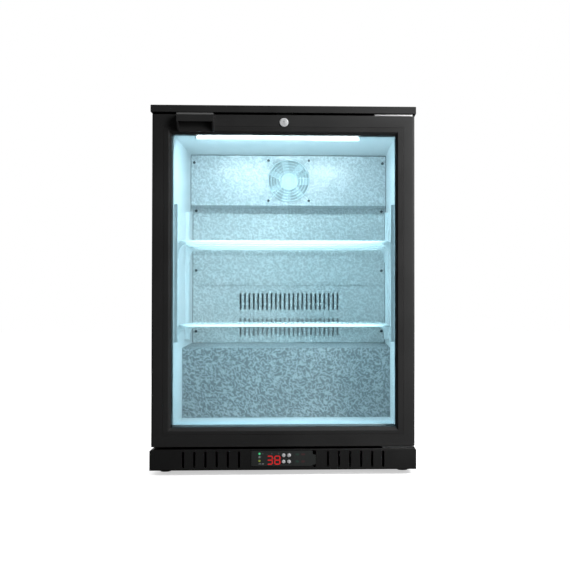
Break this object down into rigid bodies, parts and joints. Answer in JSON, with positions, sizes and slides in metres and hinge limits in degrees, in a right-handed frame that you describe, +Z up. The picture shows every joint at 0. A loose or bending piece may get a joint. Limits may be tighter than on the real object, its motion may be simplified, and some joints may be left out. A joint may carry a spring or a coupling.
{
  "type": "undercounter refrigerator",
  "caption": "Undercounter back-bar refrigerator with a hinged glass door, wire shelves, a lit forced-air cavity and a base-mounted cooling unit.",
  "frame": {"origin": "on the floor, under the middle of the footprint", "axes": "+Z up, +Y from the door towards the back, +X to the right when facing the door"},
  "size_m": [0.6, 0.52, 0.835],
  "materials": {
    "outer_cabinet": "fine dark grey powder coat on sheet steel",
    "worktop_lid": "fine-grained moulded plastic",
    "rear_panel": "zinc-coated sheet steel",
    "rear_grille": "black powder coat",
    "inner_liner": "white lacquered sheet",
    "insulation_foam": "rigid foam",
    "breaker_strip": "light grey extruded plastic",
    "step_cover": "fine stucco-embossed aluminium",
    "evaporator_fan_cover": "fine stucco-embossed aluminium",
    "rear_duct_panel": "fine stucco-embossed aluminium",
    "return_air_panel": "fine stucco-embossed aluminium",
    "panel_rails": "zinc-plated steel",
    "screws": "zinc-plated screws",
    "fan_guard": "white plastic-coated wire",
    "evaporator_fan_frame": "pale glass-filled plastic",
    "evaporator_fan_rotor": "white plastic",
    "evaporator_coil": "mill-finish fins and tube",
    "light_housing": "white plastic",
    "light_diffuser": "milky diffuser, lit",
    "shelf_pilasters": "satin stainless strip",
    "shelf_clips": "satin stainless clips",
    "upper_shelf": "white plastic-coated wire",
    "lower_shelf": "white plastic-coated wire",
    "door_frame": "fine-grained dark grey moulding",
    "door_backing": "dark grey moulding",
    "glass_bezel": "dark grey glazing bead",
    "glass_panes": "clear toughened glass",
    "glass_spacer": "black sealed spacer bar",
    "door_gasket": "soft dark grey magnetic seal",
    "door_handle": "fine-grained dark grey moulding",
    "hinge_bushes": "black nylon",
    "lock_barrel": "satin chrome",
    "lock_plug": "satin chrome",
    "lock_cam": "zinc-plated steel",
    "lock_strike": "black painted steel",
    "top_hinge_plate": "zinc-plated steel",
    "bottom_hinge_bracket": "zinc-plated steel",
    "kick_plinth": "near-black moulded plastic",
    "controller_bezel": "dark grey plastic",
    "controller_housing": "black plastic",
    "display_digits": "lit red display bars",
    "indicator_lights": "lit lamps",
    "button_set": "silvery domed button",
    "button_up": "silvery domed button",
    "button_down": "silvery domed button",
    "button_light": "silvery domed button",
    "base_pan": "zinc-coated sheet steel",
    "foot_front_left": "black plastic pad and stem",
    "foot_rear_left": "black plastic pad and stem",
    "foot_front_right": "black plastic pad and stem",
    "foot_rear_right": "black plastic pad and stem",
    "compressor": "gloss black enamel",
    "compressor_mounts": "black rubber",
    "condenser_coil": "mill-finish fins and tube",
    "condenser_fan_shroud": "zinc-coated sheet steel",
    "condenser_fan_motor": "black painted motor",
    "condenser_fan_blade": "white plastic",
    "drip_tray": "black plastic",
    "refrigerant_pipes": null,
    "power_inlet": "black plastic"
  },
  "bodies": {
    "cabinet": {"outer_cabinet": "outer_cabinet", "worktop_lid": "worktop_lid", "rear_panel": "rear_panel", "rear_grille": "rear_grille", "inner_liner": "inner_liner", "insulation_foam": "insulation_foam", "breaker_strip": "breaker_strip", "step_cover": "step_cover", "evaporator_fan_cover": "evaporator_fan_cover", "rear_duct_panel": "rear_duct_panel", "return_air_panel": "return_air_panel", "panel_rails": "panel_rails", "screws": "screws", "fan_guard": "fan_guard", "evaporator_fan_frame": "evaporator_fan_frame", "evaporator_coil": "evaporator_coil", "light_housing": "light_housing", "light_diffuser": "light_diffuser", "shelf_pilasters": "shelf_pilasters", "shelf_clips": "shelf_clips", "lock_strike": "lock_strike", "top_hinge_plate": "top_hinge_plate", "bottom_hinge_bracket": "bottom_hinge_bracket", "kick_plinth": "kick_plinth", "controller_bezel": "controller_bezel", "controller_housing": "controller_housing", "display_digits": "display_digits", "indicator_lights": "indicator_lights", "base_pan": "base_pan", "compressor": "compressor", "compressor_mounts": "compressor_mounts", "condenser_coil": "condenser_coil", "condenser_fan_shroud": "condenser_fan_shroud", "condenser_fan_motor": "condenser_fan_motor", "drip_tray": "drip_tray", "refrigerant_pipes": "refrigerant_pipes", "power_inlet": "power_inlet"},
    "door": {"door_frame": "door_frame", "door_backing": "door_backing", "glass_bezel": "glass_bezel", "glass_panes": "glass_panes", "glass_spacer": "glass_spacer", "door_gasket": "door_gasket", "door_handle": "door_handle", "hinge_bushes": "hinge_bushes", "lock_barrel": "lock_barrel"},
    "lock": {"lock_plug": "lock_plug", "lock_cam": "lock_cam"},
    "shelf_upper": {"upper_shelf": "upper_shelf"},
    "shelf_lower": {"lower_shelf": "lower_shelf"},
    "fan_evaporator": {"evaporator_fan_rotor": "evaporator_fan_rotor"},
    "fan_condenser": {"condenser_fan_blade": "condenser_fan_blade"},
    "set_button": {"button_set": "button_set"},
    "up_button": {"button_up": "button_up"},
    "down_button": {"button_down": "button_down"},
    "light_button": {"button_light": "button_light"},
    "front_left_foot": {"foot_front_left": "foot_front_left"},
    "rear_left_foot": {"foot_rear_left": "foot_rear_left"},
    "front_right_foot": {"foot_front_right": "foot_front_right"},
    "rear_right_foot": {"foot_rear_right": "foot_rear_right"}
  },
  "joints": [
    {"name": "door_hinge", "type": "hinge", "parent": "cabinet", "child": "door", "pos_m": [0.2843, -0.213, 0.44], "axis": [0, 0, 1], "range_deg": [0, 120]},
    {"name": "lock_turn", "type": "hinge", "parent": "door", "child": "lock", "pos_m": [0, -0.215, 0.7968], "axis": [0, 1, 0], "range_deg": [0, 90]},
    {"name": "upper_shelf_lift", "type": "slide", "parent": "cabinet", "child": "shelf_upper", "axis": [0, 0, 1], "range_m": [0, 0.025]},
    {"name": "lower_shelf_lift", "type": "slide", "parent": "cabinet", "child": "shelf_lower", "axis": [0, 0, 1], "range_m": [0, 0.025]},
    {"name": "evaporator_fan_spin", "type": "hinge", "parent": "cabinet", "child": "fan_evaporator", "pos_m": [0, 0.15, 0.7075], "axis": [0, 1, 0], "continuous": true},
    {"name": "condenser_fan_spin", "type": "hinge", "parent": "cabinet", "child": "fan_condenser", "pos_m": [0.14, 0.1, 0.12], "axis": [0, 1, 0], "continuous": true},
    {"name": "set_button_press", "type": "slide", "parent": "cabinet", "child": "set_button", "axis": [0, 1, 0], "range_m": [0, 0.001], "stiffness_N_per_m": 400},
    {"name": "up_button_press", "type": "slide", "parent": "cabinet", "child": "up_button", "axis": [0, 1, 0], "range_m": [0, 0.001], "stiffness_N_per_m": 400},
    {"name": "light_button_press", "type": "slide", "parent": "cabinet", "child": "light_button", "axis": [0, 1, 0], "range_m": [0, 0.001], "stiffness_N_per_m": 400},
    {"name": "down_button_press", "type": "slide", "parent": "cabinet", "child": "down_button", "axis": [0, 1, 0], "range_m": [0, 0.001], "stiffness_N_per_m": 400},
    {"name": "front_left_foot_level", "type": "slide", "parent": "cabinet", "child": "front_left_foot", "axis": [0, 0, -1], "range_m": [0, 0.008]},
    {"name": "rear_left_foot_level", "type": "slide", "parent": "cabinet", "child": "rear_left_foot", "axis": [0, 0, -1], "range_m": [0, 0.008]},
    {"name": "front_right_foot_level", "type": "slide", "parent": "cabinet", "child": "front_right_foot", "axis": [0, 0, -1], "range_m": [0, 0.008]},
    {"name": "rear_right_foot_level", "type": "slide", "parent": "cabinet", "child": "rear_right_foot", "axis": [0, 0, -1], "range_m": [0, 0.008]}
  ]
}
